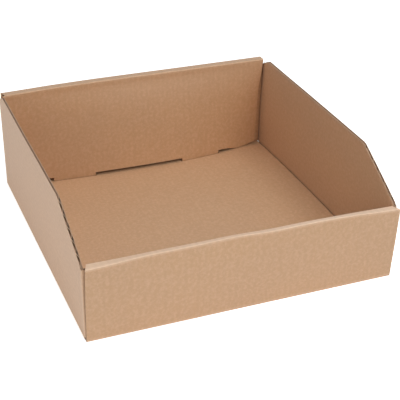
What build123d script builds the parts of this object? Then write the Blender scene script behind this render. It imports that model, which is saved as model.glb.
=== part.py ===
from build123d import *

import math
import os

# Open parts bin folded from one die-cut sheet of fluted board.
# Origin: centre of the footprint, on the resting plane. +X right, +Y back, +Z up.
# All sizes in millimetres.

# Board
board = 3.0  # thickness of the sheet
slack = 0.3  # play between layers that lie against each other
crease_radius = 2.5  # outside of the creases between floor and sides
flute_pitch = 6.35  # one wave of the fluting
mouth_width = 3.8  # one open flute at a cut edge
liner = 0.45  # facing on each side of the fluting
medium = 0.4  # the wavy sheet between the facings
mouth_depth = 2.0  # how far an open flute is followed into the slanted edge
groove_width = 1.1  # slit between the facings along a level edge
groove_depth = 1.2

# Tray
base_width = 311.0
base_depth = 317.0
back_height = 112.0
front_height = 78.5
shoulder_run = 77.0  # from the front face back to where the sides stop sloping
shoulder_radius = 16.0
side_flare = 3.0  # how far each side leans out at the height of the back

# Rolled front and back walls
end_play = 1.0  # between a rolled edge's end and the side beside it
lip_drop = 4.0  # straight turn down from the roll, above the inner wall
panel_play = 2.5  # between the inner walls' ends and the sides
foot_gap = 4.0  # the inner walls' feet stand this far above the floor
foot_forward = 14.4  # how far the inner back wall's foot is drawn forward in its middle
tab_return = 2.4  # how much less at its tabs
left_return = 8.0  # how far its left end springs back again
right_return = 13.8  # the same at its right end

# Locking tabs and their slots in the floor
tab_width = 48.0
tab_spacing = 154.0  # between the centres of a wall's two tabs
tab_shift = -6.0  # the pair sits this far off the middle
tab_lift = 0.6  # the tabs end this far above the resting plane
slot_play = 0.8  # around a tab in its slot

# Dust flaps
flap_length = 124.0
flap_bevel = 12.0  # slanted free corners

# Places that follow from the sizes above
half_width = base_width / 2
half_depth = base_depth / 2
roll_depth = 3 * board + 2 * slack
front_inner_face = -half_depth + roll_depth
back_inner_face = half_depth - roll_depth
flap_outer = half_depth - board - slack
flap_inner = flap_outer - board
front_flap_top = front_height - board - slack
back_flap_top = back_height - board - slack
flare_slope = side_flare / back_height
wall_half = half_width - board + flare_slope * front_flap_top - end_play
panel_half = half_width - board - panel_play
foot_height = board + foot_gap
foot_face = back_inner_face - foot_forward
tab_places = (tab_shift - tab_spacing / 2, tab_shift + tab_spacing / 2)
back_lip = back_height - board - lip_drop
front_lip = front_height - board - lip_drop
slope_run = shoulder_run - (half_depth - flap_outer)
slope_rise = back_height - front_flap_top
slope_per_height = slope_run / slope_rise
mouth_reach = board - 2 * liner - medium


def core_centre(height):
    """Middle of the left side's thickness at a height."""
    return -half_width + board / 2 - flare_slope * height


def wall_section(front_line, play):
    """Plan of a wall along its front line, with play on each side of the board."""
    with BuildSketch() as section:
        with BuildLine():
            near = Spline(*[(x, y - play) for x, y in front_line])
            far = Spline(*[(x, y + board + play) for x, y in front_line])
            Line(near @ 0, far @ 0)
            Line(near @ 1, far @ 1)
        make_face()
    return section.sketch


# Front lines of the inner walls' feet: the front wall hangs straight, the back wall is
# drawn forward by its tabs and has sprung back at both ends
front_foot = [
    (-panel_half, front_inner_face - board),
    (panel_half, front_inner_face - board),
]
back_foot = [
    (-panel_half, foot_face + left_return),
    (tab_places[0], foot_face + tab_return),
    (0, foot_face),
    (tab_places[1], foot_face + tab_return),
    (panel_half, foot_face + right_return),
]

# Left side wall, with the two dust flaps folded in from its ends
with BuildPart() as side:
    with BuildSketch():
        with BuildLine():
            Polyline(
                (-half_width + flap_length, -flap_inner),
                (-half_width + board, -flap_inner),
                (-half_width + board, flap_inner),
                (-half_width + flap_length, flap_inner),
            )
            offset(amount=board, side=Side.LEFT)
        make_face()
    extrude(
        amount=math.hypot(side_flare, back_height),
        dir=(-side_flare, 0, back_height),
    )

    # Outline seen from the side: level at the back, sloping down to the front flap
    with BuildSketch(Plane.YZ):
        with BuildLine():
            Polyline(
                (-flap_outer, 0),
                (-flap_outer, front_flap_top),
                (-flap_outer + slope_run, back_height),
                (flap_inner - board, back_height),
                (flap_inner, back_flap_top),
                (flap_outer, back_flap_top),
                (flap_outer, 0),
                close=True,
            )
        make_face()
    extrude(amount=base_width, both=True, mode=Mode.INTERSECT)
    shoulder = side.edges().filter_by(Axis.X).group_by(Axis.Z)[-1].sort_by(Axis.Y)[0]
    fillet(shoulder, shoulder_radius)

    # The flaps stand clear of the floor, and their free corners are slanted
    with Locations((-half_width + board, 0, 0)):
        for flap_side in (-1, 1):
            with Locations((0, flap_side * (flap_inner + board / 2), 0)):
                Box(
                    flap_length,
                    board,
                    board + slack,
                    align=(Align.MIN, Align.CENTER, Align.MIN),
                    mode=Mode.SUBTRACT,
                )
    free_end = -half_width + flap_length - 2 * side_flare
    free_corners = side.edges().filter_by(Axis.Y).filter_by(lambda e: e.center().X > free_end)
    chamfer(free_corners, flap_bevel)

    # Open flutes in the slanted edge, two to each wave, against either facing in turn
    mouth_count = int((slope_rise - mouth_width / 2) / (flute_pitch / 2))
    for k in range(mouth_count):
        middle = front_flap_top + (k + 1) * flute_pitch / 2
        face_side = -1 if k % 2 else 1
        foot_x = core_centre(middle) + face_side * (board / 2 - liner)
        low = middle - mouth_width / 2
        high = middle + mouth_width / 2
        inner_end = -flap_outer + (high - front_flap_top) * slope_per_height + mouth_depth
        with BuildSketch(Plane.XZ.offset(-inner_end)):
            with BuildLine():
                Line((foot_x, low), (foot_x, high))
                ThreePointArc(
                    (foot_x, high),
                    (foot_x - face_side * mouth_reach, middle),
                    (foot_x, low),
                )
            make_face()
        extrude(amount=mouth_width * slope_per_height + 2 * mouth_depth, mode=Mode.SUBTRACT)

    # Slit between the facings along the level edge
    groove_start = -flap_outer + slope_run + shoulder_radius / 2
    with Locations((core_centre(back_height), groove_start, back_height)):
        Box(
            groove_width,
            flap_inner - 2 * board - groove_start,
            2 * groove_depth,
            align=(Align.CENTER, Align.MIN, Align.CENTER),
            mode=Mode.SUBTRACT,
        )

# The whole sheet
with BuildPart() as folded_bin:
    # Floor, outer walls and rolled edges: one strip that runs from front to back
    with BuildSketch(Plane.YZ.offset(-wall_half)):
        with BuildLine():
            Polyline(
                (front_inner_face - board, foot_height),
                (front_inner_face - board, front_height - board),
                (-half_depth + board, front_height - board),
                (-half_depth + board, board),
                (half_depth - board, board),
                (half_depth - board, back_height - board),
                (back_inner_face + board, back_height - board),
                (back_inner_face + board, back_lip),
            )
            offset(amount=board, side=Side.RIGHT)
        make_face()
    extrude(amount=2 * wall_half)

    # The inner front wall is narrower than its rolled edge
    for end in (-1, 1):
        with Locations((end * panel_half, front_inner_face - board - slack, foot_height)):
            Box(
                2 * (wall_half - panel_half),
                board + 2 * slack,
                front_lip - foot_height,
                align=(Align.MIN if end > 0 else Align.MAX, Align.MIN, Align.MIN),
                mode=Mode.SUBTRACT,
            )

    # Inner back wall: straight under the roll, drawn forward at the foot
    with BuildSketch(Plane.XY.offset(foot_height)):
        add(wall_section(back_foot, 0))
    with BuildSketch(Plane.XY.offset(back_lip)):
        with Locations((0, back_inner_face)):
            Rectangle(2 * panel_half, board, align=(Align.CENTER, Align.MIN))
    loft(ruled=True)

    # Slots in the floor and the locking tabs that pass into them
    for front_line in (front_foot, back_foot):
        for tab_x in tab_places:
            with BuildSketch():
                add(wall_section(front_line, slot_play))
                with Locations((tab_x, 0)):
                    Rectangle(tab_width + 2 * slot_play, base_depth, mode=Mode.INTERSECT)
            extrude(amount=board, mode=Mode.SUBTRACT)
            with BuildSketch(Plane.XY.offset(tab_lift)):
                add(wall_section(front_line, 0))
                with Locations((tab_x, 0)):
                    Rectangle(tab_width, base_depth, mode=Mode.INTERSECT)
            extrude(amount=foot_height - tab_lift)

    # Short slits at the corners, where the front and back walls part from the sides
    for end_x in (-1, 1):
        for end_y in (-1, 1):
            slit_place = (end_x * half_width, end_y * (half_depth - board), 0)
            with Locations(slit_place):
                Box(
                    2 * (board + slack),
                    board + 2 * slack,
                    2 * (board + slack),
                    align=(Align.CENTER, Align.MAX if end_y > 0 else Align.MIN, Align.CENTER),
                    mode=Mode.SUBTRACT,
                )

    # Side walls, joined to the floor along their bottom creases
    add(side.part)
    mirror(side.part, about=Plane.YZ)
    creases = folded_bin.edges().filter_by(Axis.Y).group_by(Axis.Z)[0]
    side_creases = creases.filter_by(lambda e: abs(abs(e.center().X) - half_width) < slack)
    fillet(side_creases, crease_radius)

folded_bin.part.label = "folded_bin"
os.makedirs("parts", exist_ok=True)
export_step(folded_bin.part, "parts/folded_bin.step")
print("solids", len(folded_bin.solids()), "valid", folded_bin.part.is_valid)
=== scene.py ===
import math

import bpy
import numpy as np
from bpy.props import FloatProperty, FloatVectorProperty, PointerProperty
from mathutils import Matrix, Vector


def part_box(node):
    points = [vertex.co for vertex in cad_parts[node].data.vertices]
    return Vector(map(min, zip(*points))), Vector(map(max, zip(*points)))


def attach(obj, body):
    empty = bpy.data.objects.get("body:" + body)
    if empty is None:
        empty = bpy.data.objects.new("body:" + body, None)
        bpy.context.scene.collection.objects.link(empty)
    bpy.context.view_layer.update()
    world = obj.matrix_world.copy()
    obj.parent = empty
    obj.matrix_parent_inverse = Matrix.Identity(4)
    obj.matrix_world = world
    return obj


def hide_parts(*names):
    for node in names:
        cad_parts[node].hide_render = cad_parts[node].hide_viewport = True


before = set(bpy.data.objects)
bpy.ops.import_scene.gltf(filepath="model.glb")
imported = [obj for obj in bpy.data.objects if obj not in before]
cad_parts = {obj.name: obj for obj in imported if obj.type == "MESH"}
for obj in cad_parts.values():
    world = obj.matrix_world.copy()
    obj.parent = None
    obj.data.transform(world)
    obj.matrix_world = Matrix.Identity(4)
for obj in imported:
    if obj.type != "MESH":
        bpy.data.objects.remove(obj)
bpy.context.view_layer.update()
NODE = "folded_bin"
CAD_LOW, CAD_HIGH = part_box(NODE)

bl_info = {
    "name": "Corrugated parts bin",
    "version": (1, 0, 0),
    "blender": (4, 5, 0),
    "location": "3D View > Sidebar > Parts bin",
    "description": "Folded parts bin of fluted board, with its stage",
    "category": "Object",
}


# Sizes and colours that a user would change

def length(name, text, default):
    """A length property in metres, given in millimetres."""
    return FloatProperty(
        name=name, description=text, default=default / 1000, unit="LENGTH", precision=5
    )


def colour(name, text, default):
    """A linear colour property."""
    return FloatVectorProperty(
        name=name, description=text, default=default, size=3, subtype="COLOR",
        min=0.0, max=1.0,
    )


class PARTSBIN_PG_board(bpy.types.PropertyGroup):
    """The fluted board"""

    thickness: length("Board", "Thickness of the sheet", 3.0)
    facing: length("Facing", "Thickness of each flat paper", 0.34)
    fluting: length("Fluting", "Thickness of the wavy paper", 0.26)
    pitch: length("Pitch", "One wave of the fluting", 6.35)
    fold: length("Fold", "Outside radius of a fold", 1.2)
    slack: length("Slack", "Play between layers that lie together", 0.3)


class PARTSBIN_PG_tray(bpy.types.PropertyGroup):
    """Walls, rolls and flaps of the bin"""

    depth: length("Depth", "Outside, front to back", 1000 * (CAD_HIGH.y - CAD_LOW.y))
    height: length("Height", "Outside height at the back", 1000 * CAD_HIGH.z)
    flare: length("Flare", "How far each side leans out at the top", 3.0)
    top_width: length("Top width", "Outside width at the top", 1000 * (CAD_HIGH.x - CAD_LOW.x))
    front_height: length("Front height", "Outside height of the front wall", 78.5)
    slope_run: length("Slope run", "From the front face back to the shoulder", 77.0)
    slope_shift: length("Slope shift", "The slope sits this far forward of its line", 3.0)
    shoulder: length("Shoulder", "Rounding of the shoulder", 12.0)
    lip: length("Lip", "Straight turn down from the roll", 4.0)
    panel_play: length("Panel play", "Between an inner wall and the side", 2.5)
    foot: length("Foot", "Height of the inner walls' feet", 7.0)
    dip: length("Dip", "The top edge is lower at the back corner fold", 5.0)
    dip_reach: length("Dip reach", "The dip ends this far from the fold", 13.0)
    flap: length("Flap", "Length of a dust flap", 124.0)
    bevel: length("Bevel", "Slanted corner of a flap", 12.0)


class PARTSBIN_PG_tabs(bpy.types.PropertyGroup):
    """Locking tabs, their slots and the sprung inner back wall"""

    width: length("Tab width", "Width of a locking tab", 48.0)
    spacing: length("Tab spacing", "Between the middles of the tabs", 154.0)
    shift: length("Tab shift", "Tabs off the middle of the wall", -6.0)
    lift: length("Tab lift", "Tab ends above the resting plane", 0.6)
    play: length("Slot play", "Around a tab in its slot", 0.8)
    forward: length("Foot forward", "The back wall's foot drawn forward", 16.4)
    at_tabs: length("Return at tabs", "Less at the tabs", 2.4)
    at_left: length("Return at left", "Sprung back at the left end", 7.6)
    at_right: length("Return at right", "Sprung back at the right end", 15.8)


class PARTSBIN_PG_finish(bpy.types.PropertyGroup):
    """Colours of the papers and of the floor"""

    kraft: colour("Kraft", "Facing paper", (0.618, 0.337, 0.144))
    # The darker kraft, scaled down further, also gives the painted shade
    kraft_dark: colour("Kraft dark", "Darker clouds and fibres", (0.47, 0.246, 0.105))
    # The light kraft also gives the painted highlights on the front roll and on the inner back wall
    kraft_light: colour("Kraft light", "Rubbed folds and edges", (0.96, 0.67, 0.45))
    cut: colour("Cut edge", "Raw edge of the papers", (0.67, 0.44, 0.265))
    fluting: colour("Fluting", "Wavy paper inside the board", (0.31, 0.17, 0.085))
    floor: colour("Floor", "Pale floor", (0.94, 0.94, 0.94))


# How the board of this bin has given, in millimetres. A bend is a row of pairs: a place
# along the edge, and the shift there.
LEFT_FOOT_OUT = ((-158.5, 0.4), (158.5, 1.8))
RIGHT_FOOT_OUT = ((-158.5, 0.0), (-100, 1.5), (-43, 2.6), (20, 2.7), (92, 2.2), (158.5, 1.2))
LEFT_TOP_OUT = ((-158.5, 2.5), (-80, 2.7), (0, 2.9), (80, 2.95), (158.5, 2.95))
RIGHT_TOP_OUT = ((-158.5, 1.9), (-80, 2.9), (0, 3.0), (80, 3.0), (158.5, 2.6))
FLOOR_DOME = (
    (-158.5, 0), (-145, 0.1), (-100, 0.9), (-43, 1.8), (20, 1.9), (92, 1.4), (145, 0.2), (158.5, 0),
)
BACK_ROLL_LEAN = (
    (-153.6, 4.7), (-129, 3.3), (-107, 1.8), (-84, 0.9), (-55, 0.1), (0, 0.0), (153.6, 0.0),
)
# Front roll: a place, how far the outer fold is pressed in there, how far it hangs down,
# and how far the inner fold hangs down
FRONT_ROLL_WAVES = (
    (-157, 0, 1.6, 1.1), (-149, 0, 1.5, 1.1), (-122, 0.2, 0.3, 1.4), (-94, 2.0, 0, 1.2),
    (-65, 2.2, 0, 1.1), (-36, 3.1, 0, 0.9), (-7, 3.7, 0, 0.7), (22, 1.7, 0, 1.5),
    (53, 1.9, 0, 1.3), (84, 1.9, 0, 1.6), (115, 0.4, 0.2, 2.0), (146, 0, 2.0, 2.6),
    (157, 0, 2.5, 2.7),
)

# Half widths of the strip, in millimetres
FRONT_ROLL_LEFT = (150.7, 154.1)  # at the inner fold, at the outer fold
FRONT_ROLL_RIGHT = (153.2, 157.9)
FRONT_WALL_LEFT = (155.3, 154.1)  # at the floor, at the top
FRONT_WALL_RIGHT = (156.0, 157.9)
BACK_WALL_LEFT = (154.4, 156.6)
BACK_WALL_RIGHT = 153.6
BACK_ROLL_LEFT = (153.4, 156.6)  # at the inner fold, at the outer fold
PANEL_WIDER = 3.2  # the inner back wall, close under its roll
PANEL_NARROWER = 3.8  # its right end, towards the foot

# Inner back wall, in millimetres: how far the foot comes down at its ends
FOOT_DOWN_RIGHT = 3.1
FOOT_DOWN_LEFT = 2.8
FOOT_CORNER_UP = 2.4  # less at the right corner itself
PANEL_CURVE = 0.22  # rounding of the wall between roll and foot, as a share of the draw

# Board at folds and cut edges, how evenly its crests stand, and the widths of the worn lines, painted
# highlights and painted shade along folds and cut edges
FOLD_THICKNESS = 0.92  # of the fold radius, in the fold itself
FOLD_GROWTH = 0.86  # for each length away from the fold
CUT_THICKNESS = 0.84  # of the board, at a die-cut edge
CUT_GROWTH = 0.2
EVEN_CRESTS = 1.0
NARROW_CRESTS = 1.9
FOLD_WEAR_AND_PAINTED_LIGHT = 0.0012  # width of the line along a fold that is rubbed lighter, given a painted highlight on the front roll and painted shade on its inside, in metres
# width of the painted shade in the inside of a side's folds, in metres
CREASE_SHADE = 0.0022
# width of the painted shade along a side's cut edges, on its inner face, in metres
EDGE_SHADE = 0.0024

# Rows and columns of the grids, in metres
STRIP_FACING_STEPS = (0.0085, 0.0038)  # between rows, between columns
STRIP_FLUTING_ROWS = 0.020
STRIP_WAVE_STEPS = 8  # columns to each wave of the fluting
SIDE_FACING_STEPS = (0.0045, 0.006)
SIDE_FLUTING_COLUMNS = 0.009
SIDE_WAVE_STEPS = 9  # rows to each wave
ROWS_BY_FOLD = (0.0006, 0.0013, 0.0021, 0.0030)
SHOULDER_ROWS = np.linspace(0.0072, 0.0006, 9)  # under the top edge
CLOSEST_ROWS = 0.0005
SHORTEST_STEP = 0.0002
CLOSEST_COLUMNS = 0.2  # of a column step
END_COLUMNS = 5
END_ZONE = 0.005  # the last columns of the strip stretch from here to each row's end
JOIN_INSIDE = 0.001  # the floor and a side's bottom fold meet this far inside the side
FOLD_SINE = 0.5  # a corner that turns by more than this sine is a fold
SHARP_EDGE = 38  # degrees between two faces from which their edge is sharp
TINY = 1e-6

# Slow unevenness of the walls: size and wave length in metres, and random seeds
STRIP_UNEVEN = (0.00025, 0.12)
SIDE_UNEVEN = (0.0002, 0.11)
STRIP_SEED, LEFT_SEED, RIGHT_SEED = 4, 7, 11


# Shapes as arrays

def smooth_through(x, knots, values):
    """Natural cubic through the knots: the second derivatives m solve the usual
    three-term rows, and each span blends its end values with the cubes of the
    distances to its ends."""
    k = np.asarray(knots, float)
    v = np.asarray(values, float)
    h = np.diff(k)
    n = len(k)
    a = np.eye(n)
    b = np.zeros(n)
    inner = np.arange(1, n - 1)
    a[inner, inner - 1] = h[:-1]
    a[inner, inner] = 2 * (h[:-1] + h[1:])
    a[inner, inner + 1] = h[1:]
    b[inner] = 6 * (np.diff(v)[1:] / h[1:] - np.diff(v)[:-1] / h[:-1])
    m = np.linalg.solve(a, b)
    x = np.clip(x, k[0], k[-1])
    i = np.clip(np.searchsorted(k, x, side="right") - 1, 0, n - 2)
    left, right, w = x - k[i], k[i + 1] - x, h[i]
    return (
        m[i] * right**3 / (6 * w) + m[i + 1] * left**3 / (6 * w)
        + (v[i] / w - m[i] * w / 6) * right + (v[i + 1] / w - m[i + 1] * w / 6) * left
    )


def bent(x, bend):
    """Shift at x by a bend: a natural cubic through its pairs."""
    knots, shifts = np.array(bend, float).T / 1000
    return smooth_through(x, knots, shifts)


def ease(t):
    """0 before 0, 1 after 1, and 3t^2 - 2t^3 between."""
    t = np.clip(t, 0, 1)
    return t * t * (3 - 2 * t)


def eased(x, start, end):
    """Ease from 0 at the start to 1 at the end, both given in millimetres."""
    return ease((1000 * x - start) / (end - start))


def between(share, ends):
    """Straight blend of two lengths in millimetres, in metres."""
    low, high = ends
    return (low + share * (high - low)) / 1000


def bell(distance, width):
    """1 at no distance, falling off as the exponential of minus (distance / width)^2."""
    return np.exp(-((distance / width) ** 2))


def ripple(x, y, reach, seed):
    """Sum of five slow sine waves in two directions, with seeded phases, from -1 to 1."""
    waves = 5
    rng = np.random.default_rng(seed)
    angle = rng.uniform(0, math.tau, waves)
    phase = rng.uniform(0, math.tau, waves)
    size = reach * rng.uniform(0.6, 1.6, waves)
    total = 0
    for a, p, s in zip(angle, phase, size):
        total = total + np.sin(math.tau * (x * math.cos(a) + y * math.sin(a)) / s + p)
    return total / waves


def folded_line(corners, fold, spacing, arc_steps=4):
    """Line through corner points on the outer face of the board, where each bend
    becomes an arc of the fold radius: centre plus radius times (cosine, sine) of an
    angle that runs evenly from one tangent point to the other. Points without a bend
    stay as stations. Returns points, distance along the line, distance from the
    nearest bend, and the index of the point that stands for each corner."""
    c = np.asarray(corners, float)
    ramp = np.array(ROWS_BY_FOLD)
    points, index, arcs = [c[0]], [0], []
    after_bend = False
    for k in range(1, len(c)):
        start = points[-1]
        way = (c[k] - c[k - 1]) / np.linalg.norm(c[k] - c[k - 1])
        turn = 0.0
        if k < len(c) - 1:
            after = (c[k + 1] - c[k]) / np.linalg.norm(c[k + 1] - c[k])
            turn = way[0] * after[1] - way[1] * after[0]
        bends = abs(turn) > FOLD_SINE
        end = c[k] - way * fold if bends else c[k]
        run = np.linalg.norm(end - start)

        # Even steps, and a few closer ones beside each bend
        stops = np.linspace(0, run, max(1, int(round(run / spacing))) + 1)[1:-1]
        extra = np.concatenate([ramp if after_bend else [], run - ramp if bends else []])
        extra = extra[(extra > SHORTEST_STEP) & (extra < run - SHORTEST_STEP)]
        if len(extra) and len(stops):
            gap = np.min(np.abs(stops[:, None] - extra[None, :]), axis=1)
            stops = stops[gap > CLOSEST_ROWS]
        stops = np.sort(np.concatenate([stops, extra, [run]]))
        points += list(start + way * stops[:, None])

        if bends:
            left = np.array([-way[1], way[0]]) * np.sign(turn)
            centre = end + left * fold
            a = np.linspace(0, math.pi / 2, arc_steps + 1)[1:, None]
            arcs.append((len(points) - 1, len(points) - 1 + arc_steps))
            points += list(centre - left * fold * np.cos(a) + way * fold * np.sin(a))
            index.append(len(points) - 1 - arc_steps // 2)
        else:
            index.append(len(points) - 1)
        after_bend = bends
    points = np.array(points)
    steps = np.linalg.norm(np.diff(points, axis=0), axis=1)
    along = np.concatenate([[0], np.cumsum(steps)])
    ends = np.array(arcs)
    low, high = along[ends[:, 0]], along[ends[:, 1]]
    outside = np.maximum(low[None, :] - along[:, None], along[:, None] - high[None, :])
    return points, along, np.maximum(outside, 0).min(axis=1), index


def pressed(distance, board):
    """Thickness of the board at a distance from a fold: pressed to a share of the fold
    radius in the fold itself, and growing with the distance up to the full board."""
    return np.minimum(board.thickness, board.fold * FOLD_THICKNESS + FOLD_GROWTH * distance)


def normals(surface):
    """Unit cross product of the column step and the row step of a grid of points,
    which points from the board's outer face into the board."""
    across = np.gradient(surface, axis=1)
    along = np.gradient(surface, axis=0)
    n = np.cross(across, along)
    return n / np.maximum(np.linalg.norm(n, axis=2, keepdims=True), 1e-12)


def slab(upper, lower, keep):
    """Closed shell between two grids of points: the kept cells above, the same cells
    turned over below, and one face along every side of a kept cell that has no kept
    neighbour. Returns points, quads, and which quads are cut edges."""
    n, m = upper.shape[:2]
    top = np.arange(n * m).reshape(n, m)
    low = top + n * m
    i, j = np.nonzero(keep)
    faces = [
        np.stack([top[i, j], top[i, j + 1], top[i + 1, j + 1], top[i + 1, j]], 1),
        np.stack([low[i, j], low[i + 1, j], low[i + 1, j + 1], low[i, j + 1]], 1),
    ]
    padded = np.pad(keep, 1)
    first_row = keep & ~padded[:-2, 1:-1]
    last_row = keep & ~padded[2:, 1:-1]
    first_column = keep & ~padded[1:-1, :-2]
    last_column = keep & ~padded[1:-1, 2:]
    # Each open side of a cell runs from one of its corners to the next
    for open_cells, start, end in (
        (first_row, (0, 1), (0, 0)),
        (last_row, (1, 0), (1, 1)),
        (first_column, (0, 0), (1, 0)),
        (last_column, (1, 1), (0, 1)),
    ):
        i, j = np.nonzero(open_cells)
        a = (i + start[0], j + start[1])
        b = (i + end[0], j + end[1])
        faces.append(np.stack([top[a], top[b], low[b], low[a]], 1))
    cut = np.concatenate([np.full(len(f), k > 1) for k, f in enumerate(faces)])
    points = np.concatenate([upper.reshape(-1, 3), lower.reshape(-1, 3)])
    return points, np.concatenate(faces), cut


def layer(grid, normal, high, low, wear_and_painted_light):
    """One paper of the board: a slab from the depth low to the depth high under the
    outer face, kept inside the part's height, with its flat coordinates and its wear and
    painted light: above 0 where it is rubbed and where a highlight is painted on, below 0 where shade
    is painted on."""
    upper = grid["surface"] + normal * np.asarray(high)[..., None]
    lower = grid["surface"] + normal * np.asarray(low)[..., None]
    points, faces, cut = slab(upper, lower, grid["keep"])
    points[:, 2] = np.clip(points[:, 2], CAD_LOW.z, CAD_HIGH.z)
    flat = np.tile(grid["flat"].reshape(-1, 2), (2, 1))
    return points, faces, cut, flat, np.tile(grid[wear_and_painted_light].ravel(), 2)


def add_mesh(name, layers, materials):
    """Joins the layers, drops unused points and makes the object from whole arrays.
    Material 0 is on the papers' faces and material 1 on their cut edges."""
    first = np.cumsum([0] + [len(points) for points, *_ in layers[:-1]])
    layers = [(points, faces + k, *rest) for (points, faces, *rest), k in zip(layers, first)]
    points, faces, cut, flat, wear_and_painted_light = (np.concatenate(parts) for parts in zip(*layers))
    used, faces = np.unique(faces, return_inverse=True)
    faces = faces.reshape(-1, 4).astype(np.int32)
    points, flat, wear_and_painted_light = points[used], flat[used], wear_and_painted_light[used]
    mesh = bpy.data.meshes.new(name)
    mesh.vertices.add(len(points))
    mesh.vertices.foreach_set("co", points.astype(np.float32).ravel())
    mesh.loops.add(faces.size)
    mesh.loops.foreach_set("vertex_index", faces.ravel())
    mesh.polygons.add(len(faces))
    mesh.polygons.foreach_set("loop_start", np.arange(0, faces.size, 4, dtype=np.int32))
    mesh.polygons.foreach_set("material_index", cut.astype(np.int32))
    mesh.polygons.foreach_set("use_smooth", np.ones(len(faces), bool))
    mesh.update(calc_edges=True)
    mesh.set_sharp_from_angle(angle=math.radians(SHARP_EDGE))
    flat_map = mesh.uv_layers.new(name="flat_sheet")
    flat_map.data.foreach_set("uv", flat[faces.ravel()].astype(np.float32).ravel())
    # One attribute holds the rubbed wear together with the painted highlights and the painted shade
    wear_and_painted_light_attribute = mesh.attributes.new("wear_and_painted_light", "FLOAT", "POINT")
    wear_and_painted_light_attribute.data.foreach_set("value", wear_and_painted_light.astype(np.float32))
    for material in materials:
        mesh.materials.append(material)
    if mesh.validate():
        raise RuntimeError(name + " has faulty faces")
    piece = bpy.data.objects.new(name, mesh)
    bpy.context.scene.collection.objects.link(piece)
    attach(piece, "root")
    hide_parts(NODE)


def board_papers(name, coarse, fine, board, materials):
    """Two pieces for a stretch of board: its two facings on the coarse grid, and
    between them the fluting on the fine grid. With s the sine of a full turn for each
    pitch, the fluting's distance from the middle of the board is the amplitude times
    one less twice the power of (1 - s) / 2: a plain sine at the power 1, and with its
    crests narrower on the outer side at a higher power."""
    normal = normals(coarse["surface"])
    thick = coarse["thick"]
    # The outer facing takes the grid's rubbed wear and painted light, the inner facing its painted
    # shade
    facings = [
        layer(coarse, normal, 0 * thick + board.facing, 0 * thick, "rubbed_and_painted_light"),
        layer(coarse, normal, thick, thick - board.facing, "painted_shade"),
    ]
    add_mesh(name + "_facings", facings, materials[:2])
    normal = normals(fine["surface"])
    thick = fine["thick"]
    swing = np.maximum(thick / 2 - board.facing - board.fluting / 2, 0)
    wave = (1 - np.sin(math.tau * fine["across"] / board.pitch)) / 2
    middle = thick / 2 + swing * (1 - 2 * wave ** fine["power"])
    high, low = middle + board.fluting / 2, middle - board.fluting / 2
    add_mesh(name + "_fluting", [layer(fine, normal, high, low, "rubbed_and_painted_light")], materials[2:])


# Places in the tray

def places(scene):
    """Places that follow from the sizes, named as in the part's source, in metres."""
    board, tray, tabs = scene.partsbin_board, scene.partsbin_tray, scene.partsbin_tabs
    at = {}
    at["half_width"] = tray.top_width / 2 - tray.flare
    at["half_depth"] = tray.depth / 2
    roll = 3 * board.thickness + 2 * board.slack
    at["inner_face"] = at["half_depth"] - roll
    at["flap_outer"] = at["half_depth"] - board.thickness - board.slack
    at["flap_low"] = board.thickness + board.slack
    at["front_flap_top"] = tray.front_height - board.thickness - board.slack
    at["back_flap_top"] = tray.height - board.thickness - board.slack
    at["front_lip"] = tray.front_height - board.thickness - tray.lip
    at["back_lip"] = tray.height - board.thickness - tray.lip
    at["panel_half"] = at["half_width"] - board.thickness - tray.panel_play
    at["columns_half"] = at["panel_half"] - END_ZONE
    at["floor_inset"] = board.thickness + JOIN_INSIDE
    at["tab_middles"] = (tabs.shift - tabs.spacing / 2, tabs.shift + tabs.spacing / 2)
    return at


def foot_out(y, right):
    """How far a side's bottom fold stands outside its straight line: the left one runs
    out towards the back, the right one is bowed between its ends."""
    return bent(y, RIGHT_FOOT_OUT if right else LEFT_FOOT_OUT)


def top_out(y, right):
    """How far a side's top edge stands outside its bottom line."""
    return bent(y, RIGHT_TOP_OUT if right else LEFT_TOP_OUT)


def floor_lift(x, y):
    """Slow dome of the floor panel: its bend from front to back, times an ease from
    nothing at the left."""
    return bent(y, FLOOR_DOME) * eased(x, -155, 65)


def foot_forward(x, at, tabs):
    """How far the inner back wall's foot stands forward of its roll: a smooth curve
    through the middle, the two tabs and the two sprung ends."""
    left_tab, right_tab = at["tab_middles"]
    knots = (-at["panel_half"], left_tab, 0.0, right_tab, at["panel_half"])
    back = (tabs.at_left, tabs.at_tabs, 0.0, tabs.at_tabs, tabs.at_right)
    return tabs.forward - smooth_through(x, knots, back)


# The strip: floor, outer walls, rolls and inner walls

def strip_corners(scene, at):
    """Corners of the strip's outer face as (y, z), by name, from the ends of the front
    tabs over the front roll, under the floor and over the back roll to the back tabs."""
    board, tray, tabs = scene.partsbin_board, scene.partsbin_tray, scene.partsbin_tabs
    inner, outer, corner_y = at["inner_face"], at["half_depth"], at["flap_outer"]
    foot_face = inner - tabs.forward
    step = board.slack / 2
    return {
        "front_tab_end": (-inner, tabs.lift),
        "front_foot": (-inner, tray.foot),
        "front_lip": (-inner, at["front_lip"]),
        "front_roll_start": (-inner, at["front_lip"] + step),
        "front_inner_fold": (-inner, tray.front_height),
        "front_outer_fold": (-outer, tray.front_height),
        "front_bottom": (-outer, 0),
        "front_slit": (-corner_y, 0),
        "floor_start": (-corner_y + step, 0),
        "front_slot_start": (-inner - board.thickness - tabs.play, 0),
        "front_slot_end": (-inner + tabs.play, 0),
        "back_slot_start": (foot_face - tabs.play, 0),
        "back_slot_end": (foot_face + board.thickness + tabs.play, 0),
        "floor_end": (corner_y - step, 0),
        "back_slit": (corner_y, 0),
        "back_bottom": (outer, 0),
        "back_outer_fold": (outer, tray.height),
        "back_inner_fold": (inner, tray.height),
        "back_panel_start": (inner, at["back_lip"] + step),
        "back_lip": (inner, at["back_lip"]),
        "back_foot": (inner, tray.foot),
        "back_tab_end": (inner, tabs.lift),
    }


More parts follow.
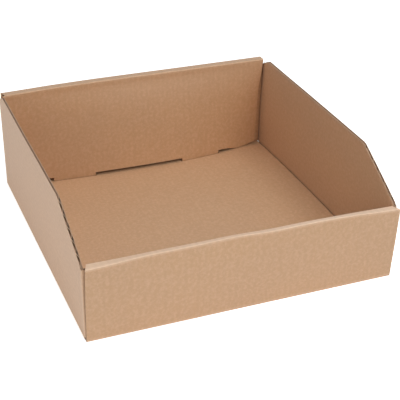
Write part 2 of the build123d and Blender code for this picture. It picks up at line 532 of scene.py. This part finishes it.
def strip_stretches(station, count):
    """Which rows lie on which stretch of the strip."""
    rows = np.arange(count)

    def span(first, last):
        return (rows >= station[first]) & (rows <= station[last])

    return {
        "front": rows <= station["front_bottom"],
        "front_roll": span("front_roll_start", "front_outer_fold"),
        "front_wall": (rows > station["front_outer_fold"]) & (rows <= station["front_slit"]),
        "floor": span("floor_start", "floor_end"),
        "domed": (rows >= station["front_bottom"] - 2) & (rows <= station["back_bottom"] + 2),
        "back_wall": (rows > station["floor_end"]) & (rows < station["back_panel_start"]),
        "back": rows > station["back_slit"],
        "back_roll": span("back_outer_fold", "back_inner_fold"),
        "roll_top": (rows > station["back_outer_fold"]) & (rows < station["back_inner_fold"]),
        "under_roll": rows > station["back_inner_fold"],
        "panel": rows >= station["back_panel_start"],
    }


def strip_columns(at, tabs, column_step):
    """Columns across the strip: even steps with the edges of the tabs and slots among
    them, and a few more at each end that stretch to the end of their row. Returns the
    columns unstretched, and the share of the stretch that each takes at the left and
    at the right."""
    zone = at["columns_half"]
    marks = [-zone, zone]
    for middle in at["tab_middles"]:
        for reach in (tabs.width / 2, tabs.width / 2 + tabs.play):
            marks += [middle - reach, middle + reach]
    inside = np.linspace(-zone, zone, int(round(2 * zone / column_step)) + 1)
    gap = np.min(np.abs(inside[:, None] - np.array(marks)[None, :]), axis=1)
    inside = np.sort(np.concatenate([inside[gap > column_step * CLOSEST_COLUMNS], marks]))
    grow = np.linspace(0, 1, END_COLUMNS + 1)[1:]
    still = np.zeros(len(inside) + END_COLUMNS)
    base = np.concatenate([np.full(END_COLUMNS, -zone), inside, np.full(END_COLUMNS, zone)])
    return base, np.concatenate([grow[::-1], still]), np.concatenate([still, grow])


def strip_ends(line, on, at, tray):
    """Distance from the middle to the left end and to the right end of each row."""
    y, z = line.T
    left = np.full(len(line), at["panel_half"])
    right = left.copy()
    inner, outer = at["inner_face"], at["half_depth"]

    across = np.clip((-inner - y[on["front_roll"]]) / (outer - inner), 0, 1)
    left[on["front_roll"]] = between(across, FRONT_ROLL_LEFT)
    right[on["front_roll"]] = between(across, FRONT_ROLL_RIGHT)
    height = z[on["front_wall"]] / tray.front_height
    left[on["front_wall"]] = between(height**3, FRONT_WALL_LEFT)
    right[on["front_wall"]] = between(height, FRONT_WALL_RIGHT)

    left[on["back_wall"]] = between(eased(z[on["back_wall"]], 60, 105), BACK_WALL_LEFT)
    right[on["back_wall"]] = BACK_WALL_RIGHT / 1000
    across = (y[on["back_roll"]] - inner) / (outer - inner)
    left[on["back_roll"]] = between(np.clip(across, 0, 1), BACK_ROLL_LEFT)

    panel_z = z[on["panel"]]
    wider = eased(panel_z, 70, 1000 * at["back_lip"]) * PANEL_WIDER
    narrower = (1 - panel_z / tray.height) * PANEL_NARROWER
    left[on["panel"]] += wider / 1000
    right[on["panel"]] += (wider - narrower) / 1000

    straight = at["half_width"] - at["floor_inset"]
    left[on["floor"]] = straight + foot_out(y[on["floor"]], False)
    right[on["floor"]] = straight + foot_out(y[on["floor"]], True)
    return left, right


def spring_back_wall(x, y, z, line, on, at, tray, tabs):
    """Draws the inner back wall's foot forward, with a slight curve of the wall between
    roll and foot: the draw times h + c h (1 - h), where h is the share of the way down
    and c the curve. Its foot comes down at both ends, and the floor's back slots
    follow it."""
    forward = foot_forward(x, at, tabs)
    panel = on["panel"][:, None]
    hang = np.clip((at["back_lip"] - z) / (at["back_lip"] - tray.foot), 0, 1)
    y = y - panel * forward * (hang + PANEL_CURVE * hang * (1 - hang))
    down = FOOT_DOWN_RIGHT * eased(x, 100, 124) + FOOT_DOWN_LEFT * eased(-x, 128, 148)
    down = down - FOOT_CORNER_UP * eased(x, 126, 148)
    z = z - panel * down / 1000 * hang

    floor_middle, floor_end = 0.05, at["flap_outer"] - 0.002
    foot_face = at["inner_face"] - tabs.forward
    toward = np.interp(line[:, 0], [floor_middle, foot_face, floor_end], [0, 1, 0])
    y = y - (on["floor"] * toward)[:, None] * (forward - tabs.forward)
    return y, z


def press_front_roll(x, y, z, on, at):
    """Waves of the front roll: the outer fold is pressed in along the middle and low at
    the corners, and the inner fold is a little lower all along. Each shift fades out
    down the walls, and the outer wall's foot is drawn in from the middle to the right."""
    inner_fold_out, foot_in = 0.0006, 0.0009
    knots, pressed_in, outer_down, inner_down = np.array(FRONT_ROLL_WAVES).T / 1000
    pressed_in = np.maximum(smooth_through(x, knots, pressed_in), 0)
    outer_down = np.maximum(smooth_through(x, knots, outer_down), 0)
    inner_down = smooth_through(x, knots, inner_down)
    inner, outer = at["inner_face"], at["half_depth"]
    share = np.clip((-inner - y) / (outer - inner), 0, 1)
    front, on_roll = on["front"][:, None], on["front_roll"][:, None]
    high = np.where(on_roll, 1.0, front * eased(z, 60, 77.5))
    y = y + high * (share * pressed_in - (1 - share) * inner_fold_out)
    down = share * outer_down + (1 - share) * inner_down
    z = z - front * down * np.where(on_roll, 1.0, eased(z, 20, 75))
    y = y + front * (1 - eased(z, 0, 50)) * foot_in * eased(x, -50, -10) * share
    return y, z


def strip_cells(x, station, at, tabs):
    """Cells of the strip that are kept: not those beside the tabs, and not the slots."""
    middle_x = (x[0, 1:] + x[0, :-1]) / 2
    in_tab = np.zeros(len(middle_x), bool)
    in_slot = np.zeros(len(middle_x), bool)
    for middle in at["tab_middles"]:
        in_tab |= np.abs(middle_x - middle) < tabs.width / 2
        in_slot |= np.abs(middle_x - middle) < tabs.width / 2 + tabs.play
    keep = np.ones((len(x) - 1, len(middle_x)), bool)
    keep[: station["front_foot"]] &= in_tab
    keep[station["back_foot"]:] &= in_tab
    keep[station["front_slot_start"]:station["front_slot_end"]] &= ~in_slot
    keep[station["back_slot_start"]:station["back_slot_end"]] &= ~in_slot
    return keep


def strip_wear_and_painted_light(x, z, near_fold, on):
    """Wear and painted light of the strip's outer face: rubbed lighter in the folds; the
    front roll rubbed lighter and given a painted highlight, stronger to the right; painted shade on
    top of the back roll; and on the inner back wall painted light under the roll and painted shade at
    the left of its foot."""
    # Rubbed folds; front roll rubbed and given a painted highlight, stronger to the right; painted
    # shade on the back roll's top; painted light under the roll; painted shade at the left of the
    # foot
    front_fold, front_roll, roll_right, back_fold = 0.45, 0.80, 0.35, 0.10
    back_roll, under_roll, painted_foot_shade, less_above = -0.18, 0.20, -0.35, 0.6
    rows = front_fold * near_fold
    rows = np.where(on["front_roll"], front_roll + (1 - front_roll) * near_fold, rows)
    rows = np.where(on["back"], back_fold * near_fold, rows)
    rows = np.where(on["roll_top"], back_roll, rows)
    rows = np.where(on["floor"], 0, rows)
    wear_and_painted_light = rows[:, None] + roll_right * eased(x, -20, 100) * on["front_roll"][:, None]
    # Painted light on the inner back wall, strongest close under the roll, and painted shade towards
    # the left of its foot, less higher up
    panel = under_roll * eased(z, 62, 107)
    panel = panel + painted_foot_shade * eased(-x, -10, 120) * (1 - less_above * eased(z, 0, 110))
    return wear_and_painted_light + on["under_roll"][:, None] * panel


def strip_grid(scene, row_step, column_step):
    """Outer face of the strip: the folded line gives y and z of a row, the columns give
    x, and slow displacements bend the walls as on the real thing."""
    board, tray, tabs = scene.partsbin_board, scene.partsbin_tray, scene.partsbin_tabs
    at = places(scene)
    corners = strip_corners(scene, at)
    line, along, from_fold, index = folded_line(list(corners.values()), board.fold, row_step)
    station = dict(zip(corners, index))
    on = strip_stretches(station, len(line))

    base, left_share, right_share = strip_columns(at, tabs, column_step)
    left_end, right_end = strip_ends(line, on, at, tray)
    left_more = left_end[:, None] - at["columns_half"]
    right_more = right_end[:, None] - at["columns_half"]
    x = base - left_share * left_more + right_share * right_more
    y = line[:, :1] + 0 * x
    z = line[:, 1:] + 0 * x

    y, z = spring_back_wall(x, y, z, line, on, at, tray, tabs)
    y, z = press_front_roll(x, y, z, on, at)
    top = 1000 * tray.height
    lean = np.maximum(bent(x, BACK_ROLL_LEAN), 0)
    y = y - on["back"][:, None] * eased(z, 45, top) * lean

    # Dome of the floor and slow unevenness of the walls
    flat_floor = 0.001
    z = z + on["domed"][:, None] * floor_lift(x, y) * (z < flat_floor)
    free = eased(z, 4, 34) * (1 - eased(z, top - 10, top))
    size, reach = STRIP_UNEVEN
    y = y - size * ripple(x, along[:, None], reach, STRIP_SEED) * free
    outer = at["half_depth"]
    surface = np.stack([x, np.clip(y, -outer, outer), np.clip(z, 0, tray.height)], axis=2)

    near_fold = bell(from_fold, FOLD_WEAR_AND_PAINTED_LIGHT)
    # Painted shade along the inside of every fold
    painted_shade = 0.5
    return {
        "surface": surface,
        "keep": strip_cells(x, station, at, tabs),
        "across": x,
        "flat": np.stack([x, along[:, None] + 0 * x], axis=2),
        "thick": pressed(from_fold, board)[:, None] + 0 * x,
        "rubbed_and_painted_light": strip_wear_and_painted_light(x, line[:, 1:], near_fold, on),
        "painted_shade": -painted_shade * near_fold[:, None] + 0 * x,
        "power": EVEN_CRESTS,
    }


# The sides with their dust flaps

def slope_edge(z, scene, at):
    """The y at which the side begins at a height: a straight slope above the front flap,
    and an arc of the shoulder radius between the slope and the level top. The arc's
    centre is one radius under the top, and behind the corner of the two lines by the
    radius times the tangent of half the slope's angle."""
    board, tray = scene.partsbin_board, scene.partsbin_tray
    run = tray.slope_run - (board.thickness + board.slack)
    per_height = run / (tray.height - at["front_flap_top"])
    corner = run - tray.slope_shift - at["flap_outer"]
    straight = corner - (tray.height - z) * per_height
    angle = math.atan(1 / per_height)
    reach = tray.shoulder * math.tan(angle / 2)
    above_centre = np.clip(z - (tray.height - tray.shoulder), 0, tray.shoulder)
    rounded = corner + reach - np.sqrt(np.maximum(tray.shoulder**2 - above_centre**2, 0))
    edge = np.where(z > tray.height - reach * math.sin(angle), rounded, straight)
    return np.maximum(edge, -at["flap_outer"] + board.fold)


def side_cells(line, rise, side_end, at):
    """Cells of a side that are kept: not those above and below its two flaps."""
    column = (line[1:, 1] + line[:-1, 1]) / 2
    on_flap = np.abs(column) > side_end + TINY
    middle_z = (rise[1:, 1:] + rise[:-1, 1:]) / 2
    keep = np.ones((len(rise) - 1, len(line) - 1), bool)
    keep &= ~((middle_z > at["front_flap_top"]) & (on_flap & (column < 0))[None, :])
    keep &= ~((middle_z > at["back_flap_top"]) & (on_flap & (column > 0))[None, :])
    keep &= ~((middle_z < at["flap_low"]) & on_flap[None, :])
    return keep


def side_grid(scene, row_step, column_step, right):
    """Outer face of a side with its two dust flaps: the columns follow the plan from
    one flap's free end round both corners to the other's, the rows climb from the
    floor over the bottom fold to the top edge, and the wall leans out with the height.
    Above the front flap the columns draw back along the slope."""
    board, tray = scene.partsbin_board, scene.partsbin_tray
    at = places(scene)
    flap_low, front_top, back_top = at["flap_low"], at["front_flap_top"], at["back_flap_top"]
    wall, corner_y = -at["half_width"], at["flap_outer"]
    free_end = wall + tray.flap
    plan = [(free_end, -corner_y), (wall, -corner_y), (wall, corner_y), (free_end, corner_y)]
    line, around, from_corner, station = folded_line(plan, board.fold, column_step)
    shoulder = [(0, tray.height - drop) for drop in SHOULDER_ROWS]
    half = len(shoulder) // 2
    climb = [
        (at["floor_inset"], 0), (0, 0), (0, flap_low), (0, front_top),
        *shoulder[:half], (0, back_top), *shoulder[half + 1:], (0, tray.height),
    ]
    rise, up, from_bottom, _ = folded_line(climb, board.fold, row_step)
    inset, z = rise[:, :1], rise[:, 1:]
    row_z = z
    plan_x, plan_y = line[None, :, 0], line[None, :, 1]
    x = plan_x + 0 * z
    y = plan_y + 0 * z

    # The columns in front draw back with the slope, and the last ones come a little
    # forward above the back flap
    side_end = corner_y - board.fold
    side_start = -side_end
    in_side = np.abs(plan_y) <= side_end + TINY
    draw_limit, back_limit, back_lean = -0.030, 0.12, 0.004
    draw = np.where(z > front_top + TINY, slope_edge(z, scene, at) - side_start, 0)
    y = y + draw * np.clip((draw_limit - plan_y) / (draw_limit - side_start), 0, 1) * in_side
    drop = np.clip((z - back_top) / (tray.height - back_top), 0, 1)
    weight = np.clip((plan_y - back_limit) / (side_end - back_limit), 0, 1) * in_side
    y = y - back_lean * drop * weight

    # A dip in the top edge where the back corner folds
    dip_low = 0.080
    to_corner = np.maximum(np.abs(around - around[station[2]]) - board.fold, 0)
    dip = (1 - ease(to_corner / tray.dip_reach))[None, :] * tray.dip
    z = z - dip * np.clip((z - dip_low) / (back_top - dip_low), 0, 1)

    # Slanted free corners of the flaps
    flap_top = np.where(plan_y < 0, front_top, back_top)
    short = np.maximum(0, tray.bevel - (z - flap_low)) + np.maximum(0, tray.bevel - (flap_top - z))
    share_out = np.clip((plan_x - wall - board.fold) / (free_end - wall), 0, 1)
    x = x - np.minimum(short, tray.bevel) * share_out * (z >= flap_low - TINY)

    # Lean between the bottom line and the top line, and a little unevenness
    up_share = z / tray.height
    x = x + inset - (foot_out(y, right) * (1 - up_share) + top_out(y, right) * up_share)
    size, reach = SIDE_UNEVEN
    uneven = size * (1 + ripple(y, z, reach, RIGHT_SEED if right else LEFT_SEED))
    x = x + uneven * eased(z, 6, 46) * in_side
    z = z + floor_lift(-x if right else x, y) * (1 - eased(z, 0, 30))
    surface = np.stack([x, y, np.clip(z, 0, tray.height)], axis=2)

    # Distance from the nearest fold and from the cut edges, at flat rows and columns
    by_flap = (row_z > flap_low - TINY) & (row_z < flap_top + TINY)
    near_fold = np.minimum(from_bottom[:, None], np.where(by_flap, from_corner[None, :], 1.0))
    from_slope = np.abs(plan_y - side_start) + np.where(row_z > front_top, 0, 1)
    from_cut = np.minimum(from_slope, tray.height - row_z)
    cut_thick = CUT_THICKNESS * board.thickness + CUT_GROWTH * from_cut
    # Folds rubbed lighter on the outer face; painted shade on the inner face: in the folds, all over,
    # more towards the top, and most along the cut edges
    rubbed_and_painted_light, painted_shade, inside_low, inside_high, inside_edge = 0.5, 0.9, 0.16, 0.16, 0.34
    inside_shade = inside_low + inside_high * eased(row_z, 50, 100)
    inside_shade = inside_shade + inside_edge * bell(from_cut, EDGE_SHADE)
    grid = {
        "surface": surface,
        "keep": side_cells(line, rise, side_end, at),
        "across": up[:, None] + 0 * x,
        "flat": np.stack([up[:, None] + 0 * x, around[None, :] + 0 * x], axis=2),
        "thick": np.minimum(pressed(near_fold, board), cut_thick),
        "rubbed_and_painted_light": rubbed_and_painted_light * bell(near_fold, FOLD_WEAR_AND_PAINTED_LIGHT),
        "painted_shade": -painted_shade * bell(near_fold, CREASE_SHADE) - inside_shade,
    }
    if right:
        grid = {key: value[:, ::-1] for key, value in grid.items()}
        grid["surface"] = grid["surface"] * np.array([-1, 1, 1])
    grid["power"] = NARROW_CRESTS
    return grid


# Materials

class NodeSheet:
    """Adds nodes to a material or the world and joins their sockets."""

    def __init__(self, owner):
        owner.use_nodes = True
        self.tree = owner.node_tree
        self.tree.nodes.clear()

    def add(self, kind, values=None, links=None, **settings):
        """A node with its settings, its numbers and colours, and its links."""
        node = self.tree.nodes.new(kind)
        for key, value in settings.items():
            setattr(node, key, value)
        for key, value in (values or {}).items():
            node.inputs[key].default_value = value
        for key, socket in (links or {}).items():
            self.tree.links.new(socket, node.inputs[key])
        return node

    def noise(self, place, scale, detail, roughness=0.5):
        """Layered noise between 0 and 1."""
        values = {"Scale": scale, "Detail": detail, "Roughness": roughness}
        return self.add("ShaderNodeTexNoise", values, {"Vector": place}).outputs["Fac"]

    def spread(self, value, start, end, low, high):
        """The stretch from start to end carried over to the stretch from low to high."""
        values = {"From Min": start, "From Max": end, "To Min": low, "To Max": high}
        return self.add("ShaderNodeMapRange", values, {"Value": value}).outputs[0]

    def calc(self, operation, *terms, clamp=False):
        """One step of arithmetic on sockets and numbers."""
        values = {k: term for k, term in enumerate(terms) if isinstance(term, float)}
        links = {k: term for k, term in enumerate(terms) if not isinstance(term, float)}
        node = self.add("ShaderNodeMath", values, links, operation=operation, use_clamp=clamp)
        return node.outputs[0]

    def lay(self, over, factor, under):
        """A colour laid over another by a factor."""
        values, links = {"B": over}, {"Factor": factor}
        (values if isinstance(under, tuple) else links)["A"] = under
        return self.add("ShaderNodeMix", values, links, data_type="RGBA").outputs["Result"]

    def seen(self):
        """1 for camera, glossy and transmitted rays, and 0 for all others."""
        path = self.add("ShaderNodeLightPath").outputs
        direct = self.calc("MAXIMUM", path["Is Camera Ray"], path["Is Glossy Ray"])
        return self.calc("MAXIMUM", direct, path["Is Transmission Ray"])


def opaque(tone, scale=(1, 1, 1)):
    """A colour with its three parts scaled, and full cover."""
    return (*(part * by for part, by in zip(tone, scale)), 1)


def paper_tone(sheet, base, dark, light, fold_tone, place, flat, fibres, mottle):
    """Colour of the paper: slow clouds, fibres, light mottles and rare specks over the
    base colour, made lighter where it is rubbed and where a highlight is painted on and darker where
    shade is painted on, with faint stripes where the fluting shows through. Returns the colour and
    the stripes' wave."""
    clouds = sheet.noise(place, 22.0, 4.0, 0.6)
    colour = sheet.lay(opaque(dark), sheet.spread(clouds, 0.35, 0.68, 0.0, 0.16), opaque(base))
    colour = sheet.lay(opaque(dark), sheet.spread(fibres, 0.42, 0.75, 0.0, 0.26), colour)
    colour = sheet.lay(opaque(light), sheet.spread(mottle, 0.42, 0.68, 0.0, 0.24), colour)
    specks = sheet.add("ShaderNodeTexVoronoi", {"Scale": 230.0, "Randomness": 1.0}, {"Vector": place})
    in_speck = sheet.spread(specks.outputs["Distance"], 0.02, 0.10, 0.30, 0.0)
    colour = sheet.lay(opaque(dark, (0.55, 0.5, 0.5)), in_speck, colour)

    wear_and_painted_light = sheet.add("ShaderNodeAttribute", attribute_name="wear_and_painted_light").outputs["Fac"]
    # Rubbed places and painted highlights take the light kraft
    rubbed_and_painted_light = sheet.calc("MULTIPLY", wear_and_painted_light, fold_tone, clamp=True)
    colour = sheet.lay(opaque(light), rubbed_and_painted_light, colour)
    # Painted shade: a much darker kraft laid on where the attribute is below 0
    painted_shade = sheet.calc("MULTIPLY", wear_and_painted_light, -0.6, clamp=True)
    colour = sheet.lay(opaque(dark, (0.35, 0.3, 0.3)), painted_shade, colour)

    across = sheet.add("ShaderNodeSeparateXYZ", None, {0: flat}).outputs["X"]
    pitch = bpy.context.scene.partsbin_board.pitch
    washboard = sheet.calc("SINE", sheet.calc("MULTIPLY", across, math.tau / pitch))
    stripes = sheet.spread(washboard, -1.0, 1.0, 0.0, 0.09)
    return sheet.lay(opaque(dark), stripes, colour), washboard


def paper_material(name, base, dark, light, rough, fold_tone):
    """Kraft paper: its tone, with fibres drawn out across the flutes and fine grain, and
    a bump from the fibres, the grain and the faint washboard of the fluting."""
    material = bpy.data.materials.new(name)
    sheet = NodeSheet(material)
    place = sheet.add("ShaderNodeTexCoord").outputs["Object"]
    flat = sheet.add("ShaderNodeUVMap", uv_map="flat_sheet").outputs["UV"]
    stretched = sheet.add("ShaderNodeMapping", {"Scale": (260.0, 1900.0, 1.0)}, {"Vector": flat})
    fibres = sheet.noise(stretched.outputs[0], 1.0, 3.0, 0.65)
    grain = sheet.noise(place, 700.0, 2.0, 0.7)
    mottle = sheet.noise(place, 330.0, 3.0, 0.7)
    colour, washboard = paper_tone(
        sheet, base, dark, light, fold_tone, place, flat, fibres, mottle
    )
    fine = sheet.calc("ADD", sheet.calc("MULTIPLY", fibres, 0.5), sheet.calc("MULTIPLY", grain, 0.6))
    height = sheet.calc("ADD", fine, sheet.calc("MULTIPLY", washboard, 0.45))
    bump = sheet.add("ShaderNodeBump", {"Strength": 0.35, "Distance": 0.00012}, {"Height": height})
    gloss = sheet.spread(mottle, 0.0, 1.0, rough - 0.08, rough + 0.08)
    shader = sheet.add(
        "ShaderNodeBsdfPrincipled",
        {"IOR": 1.72, "Specular IOR Level": 1.0, "Sheen Weight": 0.30, "Sheen Roughness": 0.5},
        {"Base Color": colour, "Roughness": gloss, "Normal": bump.outputs[0]},
    )
    sheet.add("ShaderNodeOutputMaterial", None, {"Surface": shader.outputs[0]})
    return material


def kraft_materials(scene):
    """Facing, cut edge, fluting and fluting edge, made once and shared."""
    finish = scene.partsbin_finish
    dark, light = tuple(finish.kraft_dark), tuple(finish.kraft_light)
    made = []
    for name, base, rough, fold_tone in (
        ("kraft_facing", finish.kraft, 0.62, 0.85),
        ("kraft_cut_edge", finish.cut, 0.9, 0.1),
        ("kraft_fluting", finish.fluting, 0.88, 0.0),
        ("kraft_fluting_edge", finish.cut, 0.9, 0.0),
    ):
        found = bpy.data.materials.get(name)
        made.append(found or paper_material(name, tuple(base), dark, light, rough, fold_tone))
    return made


def floor_material(scene):
    """Pale floor that lights the object by reflection and keeps its shadow. Some light
    of its own is added for camera, glossy and transmitted rays, except under the bin,
    where the slots would show it."""
    own_light = 0.76
    bin_reach = places(scene)["half_width"] - 0.001
    material = bpy.data.materials.new("pale_floor")
    sheet = NodeSheet(material)
    pale = tuple(scene.partsbin_finish.floor)
    place = sheet.add("ShaderNodeTexCoord").outputs["Object"]
    noise = sheet.noise(place, 60.0, 3.0)
    tone = sheet.lay(opaque(pale, (1.02, 1.02, 1.02)), noise, opaque(pale))
    diffuse = sheet.add("ShaderNodeBsdfDiffuse", {"Roughness": 0.5}, {"Color": tone})
    apart = sheet.add("ShaderNodeSeparateXYZ", None, {0: place}).outputs
    wide = sheet.calc("ABSOLUTE", apart["X"])
    deep = sheet.calc("ABSOLUTE", apart["Y"])
    open_floor = sheet.calc("GREATER_THAN", sheet.calc("MAXIMUM", wide, deep), bin_reach)
    strength = sheet.calc("MULTIPLY", sheet.seen(), sheet.calc("MULTIPLY", open_floor, own_light))
    own = sheet.add("ShaderNodeEmission", {"Color": (1, 1, 1, 1)}, {"Strength": strength})
    both = sheet.add("ShaderNodeAddShader", None, {0: diffuse.outputs[0], 1: own.outputs[0]})
    sheet.add("ShaderNodeOutputMaterial", None, {"Surface": both.outputs[0]})
    return material


# Stage

# Name, place, aim, size and power of each lamp: a broad one from the front right, a
# broad one overhead and a small low one from the left
LAMPS = (
    ("key_front", (0.46, -1.35, 1.42), (0.0, 0.0, 0.05), 1.2, 11.5),
    ("overhead", (0.25, -0.05, 1.9), (0.0, 0.0, 0.0), 1.5, 9.4),
    ("fill_left", (-1.7, -0.65, 0.36), (0.0, 0.0, 0.05), 0.7, 6.2),
)
SURROUND_LIGHT = 0.205  # what the white surroundings give to the object
CAMERA_PLACE = (-0.3451311, -0.8758167, 0.5705030)
CAMERA_TURN = (60.19597, -1.16076, -21.73975)  # degrees
CAMERA_LENS = 93.06  # millimetres
FLOOR_REACH = 4.0
FLOOR_POINTS = 9  # along each edge


def add_floor(scene):
    """A flat grid of points far past the object on every side."""
    steps = np.linspace(-FLOOR_REACH, FLOOR_REACH, FLOOR_POINTS)
    gx, gy = np.meshgrid(steps, steps)
    points = np.stack([gx, gy, np.zeros_like(gx)], axis=2).reshape(-1, 3)
    index = np.arange(len(points)).reshape(FLOOR_POINTS, FLOOR_POINTS)
    faces = np.stack([index[:-1, :-1], index[:-1, 1:], index[1:, 1:], index[1:, :-1]], 2)
    mesh = bpy.data.meshes.new("pale_floor")
    mesh.from_pydata(points.tolist(), [], faces.reshape(-1, 4).tolist())
    mesh.materials.append(floor_material(scene))
    floor = bpy.data.objects.new("pale_floor", mesh)
    scene.collection.objects.link(floor)


def add_lamps(scene):
    """Square area lamps, each turned so that it shines along the line to its aim."""
    for name, place, aim, size, power in LAMPS:
        data = bpy.data.lights.new(name, "AREA")
        data.shape = "SQUARE"
        data.size = size
        data.energy = power
        lamp = bpy.data.objects.new(name, data)
        lamp.location = place
        way = np.array(aim) - np.array(place)
        tilt = math.acos(-way[2] / np.linalg.norm(way))
        lamp.rotation_euler = (tilt, 0.0, math.atan2(way[1], way[0]) - math.pi / 2)
        scene.collection.objects.link(lamp)


def add_surroundings(scene):
    """White to the camera and in reflections, and a low even light on the object."""
    scene.world = bpy.data.worlds.new("studio")
    sheet = NodeSheet(scene.world)
    strength = sheet.spread(sheet.seen(), 0.0, 1.0, SURROUND_LIGHT, 1.0)
    sky = sheet.add("ShaderNodeBackground", {"Color": (1, 1, 1, 1)}, {"Strength": strength})
    sheet.add("ShaderNodeOutputWorld", None, {"Surface": sky.outputs[0]})


def add_camera(scene):
    """Camera at the photograph's place."""
    data = bpy.data.cameras.new("camera")
    data.sensor_width = 36.0
    data.lens = CAMERA_LENS
    data.clip_start = 0.01
    data.clip_end = 50.0
    camera = bpy.data.objects.new("camera", data)
    camera.location = CAMERA_PLACE
    camera.rotation_euler = tuple(math.radians(angle) for angle in CAMERA_TURN)
    scene.collection.objects.link(camera)
    scene.camera = camera


# Operators

class PARTSBIN_OT_strip(bpy.types.Operator):
    """Add the floor with the rolled front and back walls"""

    bl_idname = "partsbin.strip"
    bl_label = "Floor and rolled walls"

    def execute(self, context):
        scene = context.scene
        board = scene.partsbin_board
        board_papers(
            "floor_and_rolled_walls",
            strip_grid(scene, *STRIP_FACING_STEPS),
            strip_grid(scene, STRIP_FLUTING_ROWS, board.pitch / STRIP_WAVE_STEPS),
            board,
            kraft_materials(scene),
        )
        return {"FINISHED"}


class PARTSBIN_OT_sides(bpy.types.Operator):
    """Add the two sloping sides with their dust flaps"""

    bl_idname = "partsbin.sides"
    bl_label = "Sides with dust flaps"

    def execute(self, context):
        scene = context.scene
        board = scene.partsbin_board
        for name, right in (("left_side", False), ("right_side", True)):
            board_papers(
                name,
                side_grid(scene, *SIDE_FACING_STEPS, right),
                side_grid(scene, board.pitch / SIDE_WAVE_STEPS, SIDE_FLUTING_COLUMNS, right),
                board,
                kraft_materials(scene),
            )
        return {"FINISHED"}


class PARTSBIN_OT_stage(bpy.types.Operator):
    """Add the pale floor, the soft lamps, the white surroundings and the camera"""

    bl_idname = "partsbin.stage"
    bl_label = "Stage"

    def execute(self, context):
        scene = context.scene
        scene.view_settings.view_transform = "Standard"
        add_floor(scene)
        add_lamps(scene)
        add_surroundings(scene)
        add_camera(scene)
        return {"FINISHED"}


class PARTSBIN_PT_panel(bpy.types.Panel):
    """Sizes and colours of the parts bin, and the operators that make it"""

    bl_idname = "PARTSBIN_PT_panel"
    bl_label = "Parts bin"
    bl_space_type = "VIEW_3D"
    bl_region_type = "UI"
    bl_category = "Parts bin"

    def draw(self, context):
        layout = self.layout
        for group in GROUPS:
            settings = getattr(context.scene, group)
            box = layout.box()
            for name in type(settings).__annotations__:
                box.prop(settings, name)
        for operator in OPERATORS:
            layout.operator(operator.bl_idname)


GROUPS = {
    "partsbin_board": PARTSBIN_PG_board,
    "partsbin_tray": PARTSBIN_PG_tray,
    "partsbin_tabs": PARTSBIN_PG_tabs,
    "partsbin_finish": PARTSBIN_PG_finish,
}
OPERATORS = (PARTSBIN_OT_strip, PARTSBIN_OT_sides, PARTSBIN_OT_stage)
CLASSES = (*GROUPS.values(), *OPERATORS, PARTSBIN_PT_panel)


def register():
    for cls in CLASSES:
        bpy.utils.register_class(cls)
    for name, group in GROUPS.items():
        setattr(bpy.types.Scene, name, PointerProperty(type=group))


def unregister():
    for name in GROUPS:
        delattr(bpy.types.Scene, name)
    for cls in reversed(CLASSES):
        bpy.utils.unregister_class(cls)


def main():
    """Registers the classes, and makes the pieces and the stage."""
    register()
    bpy.ops.partsbin.strip()
    bpy.ops.partsbin.sides()
    bpy.ops.partsbin.stage()


if __name__ == "__main__":
    main()
